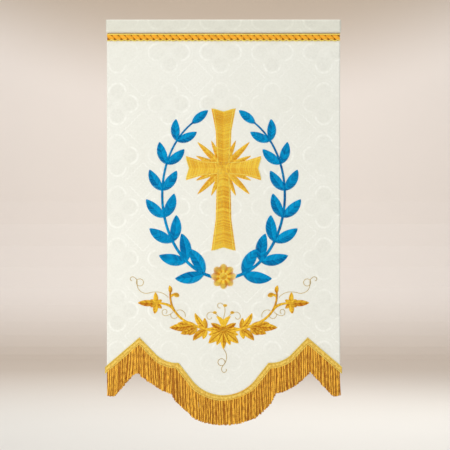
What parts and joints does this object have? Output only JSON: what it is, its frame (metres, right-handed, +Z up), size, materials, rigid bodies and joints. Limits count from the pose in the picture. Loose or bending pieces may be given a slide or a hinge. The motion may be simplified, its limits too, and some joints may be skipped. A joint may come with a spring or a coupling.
{
  "type": "church banner",
  "caption": "Hanging church banner of ivory brocade with a top sleeve, gold braid, gold and blue embroidery, a scalloped lower edge and a gold bullion fringe.",
  "frame": {"origin": "middle of the sleeve's top edge, where the banner is held up", "axes": "+Z up, -Y out of the embroidered front, +X to the right for someone who faces the front"},
  "size_m": [0.711, 0.0121, 1.2177],
  "materials": {
    "ivory_brocade": "woven brocade with a soft satin figure",
    "gold_trim": "twisted rayon braid and bullion with a silky sheen",
    "gold_thread": "raised satin stitch in metallic thread",
    "blue_thread": "raised satin stitch in silky thread"
  },
  "bodies": {
    "root": {"panel": "ivory_brocade", "sleeve": "ivory_brocade", "braid": "gold_trim", "fringe": "gold_trim", "cross": "gold_thread", "rosette": "gold_thread", "garland": "gold_thread", "laurel_left": "blue_thread", "laurel_right": "blue_thread"}
  },
  "joints": []
}
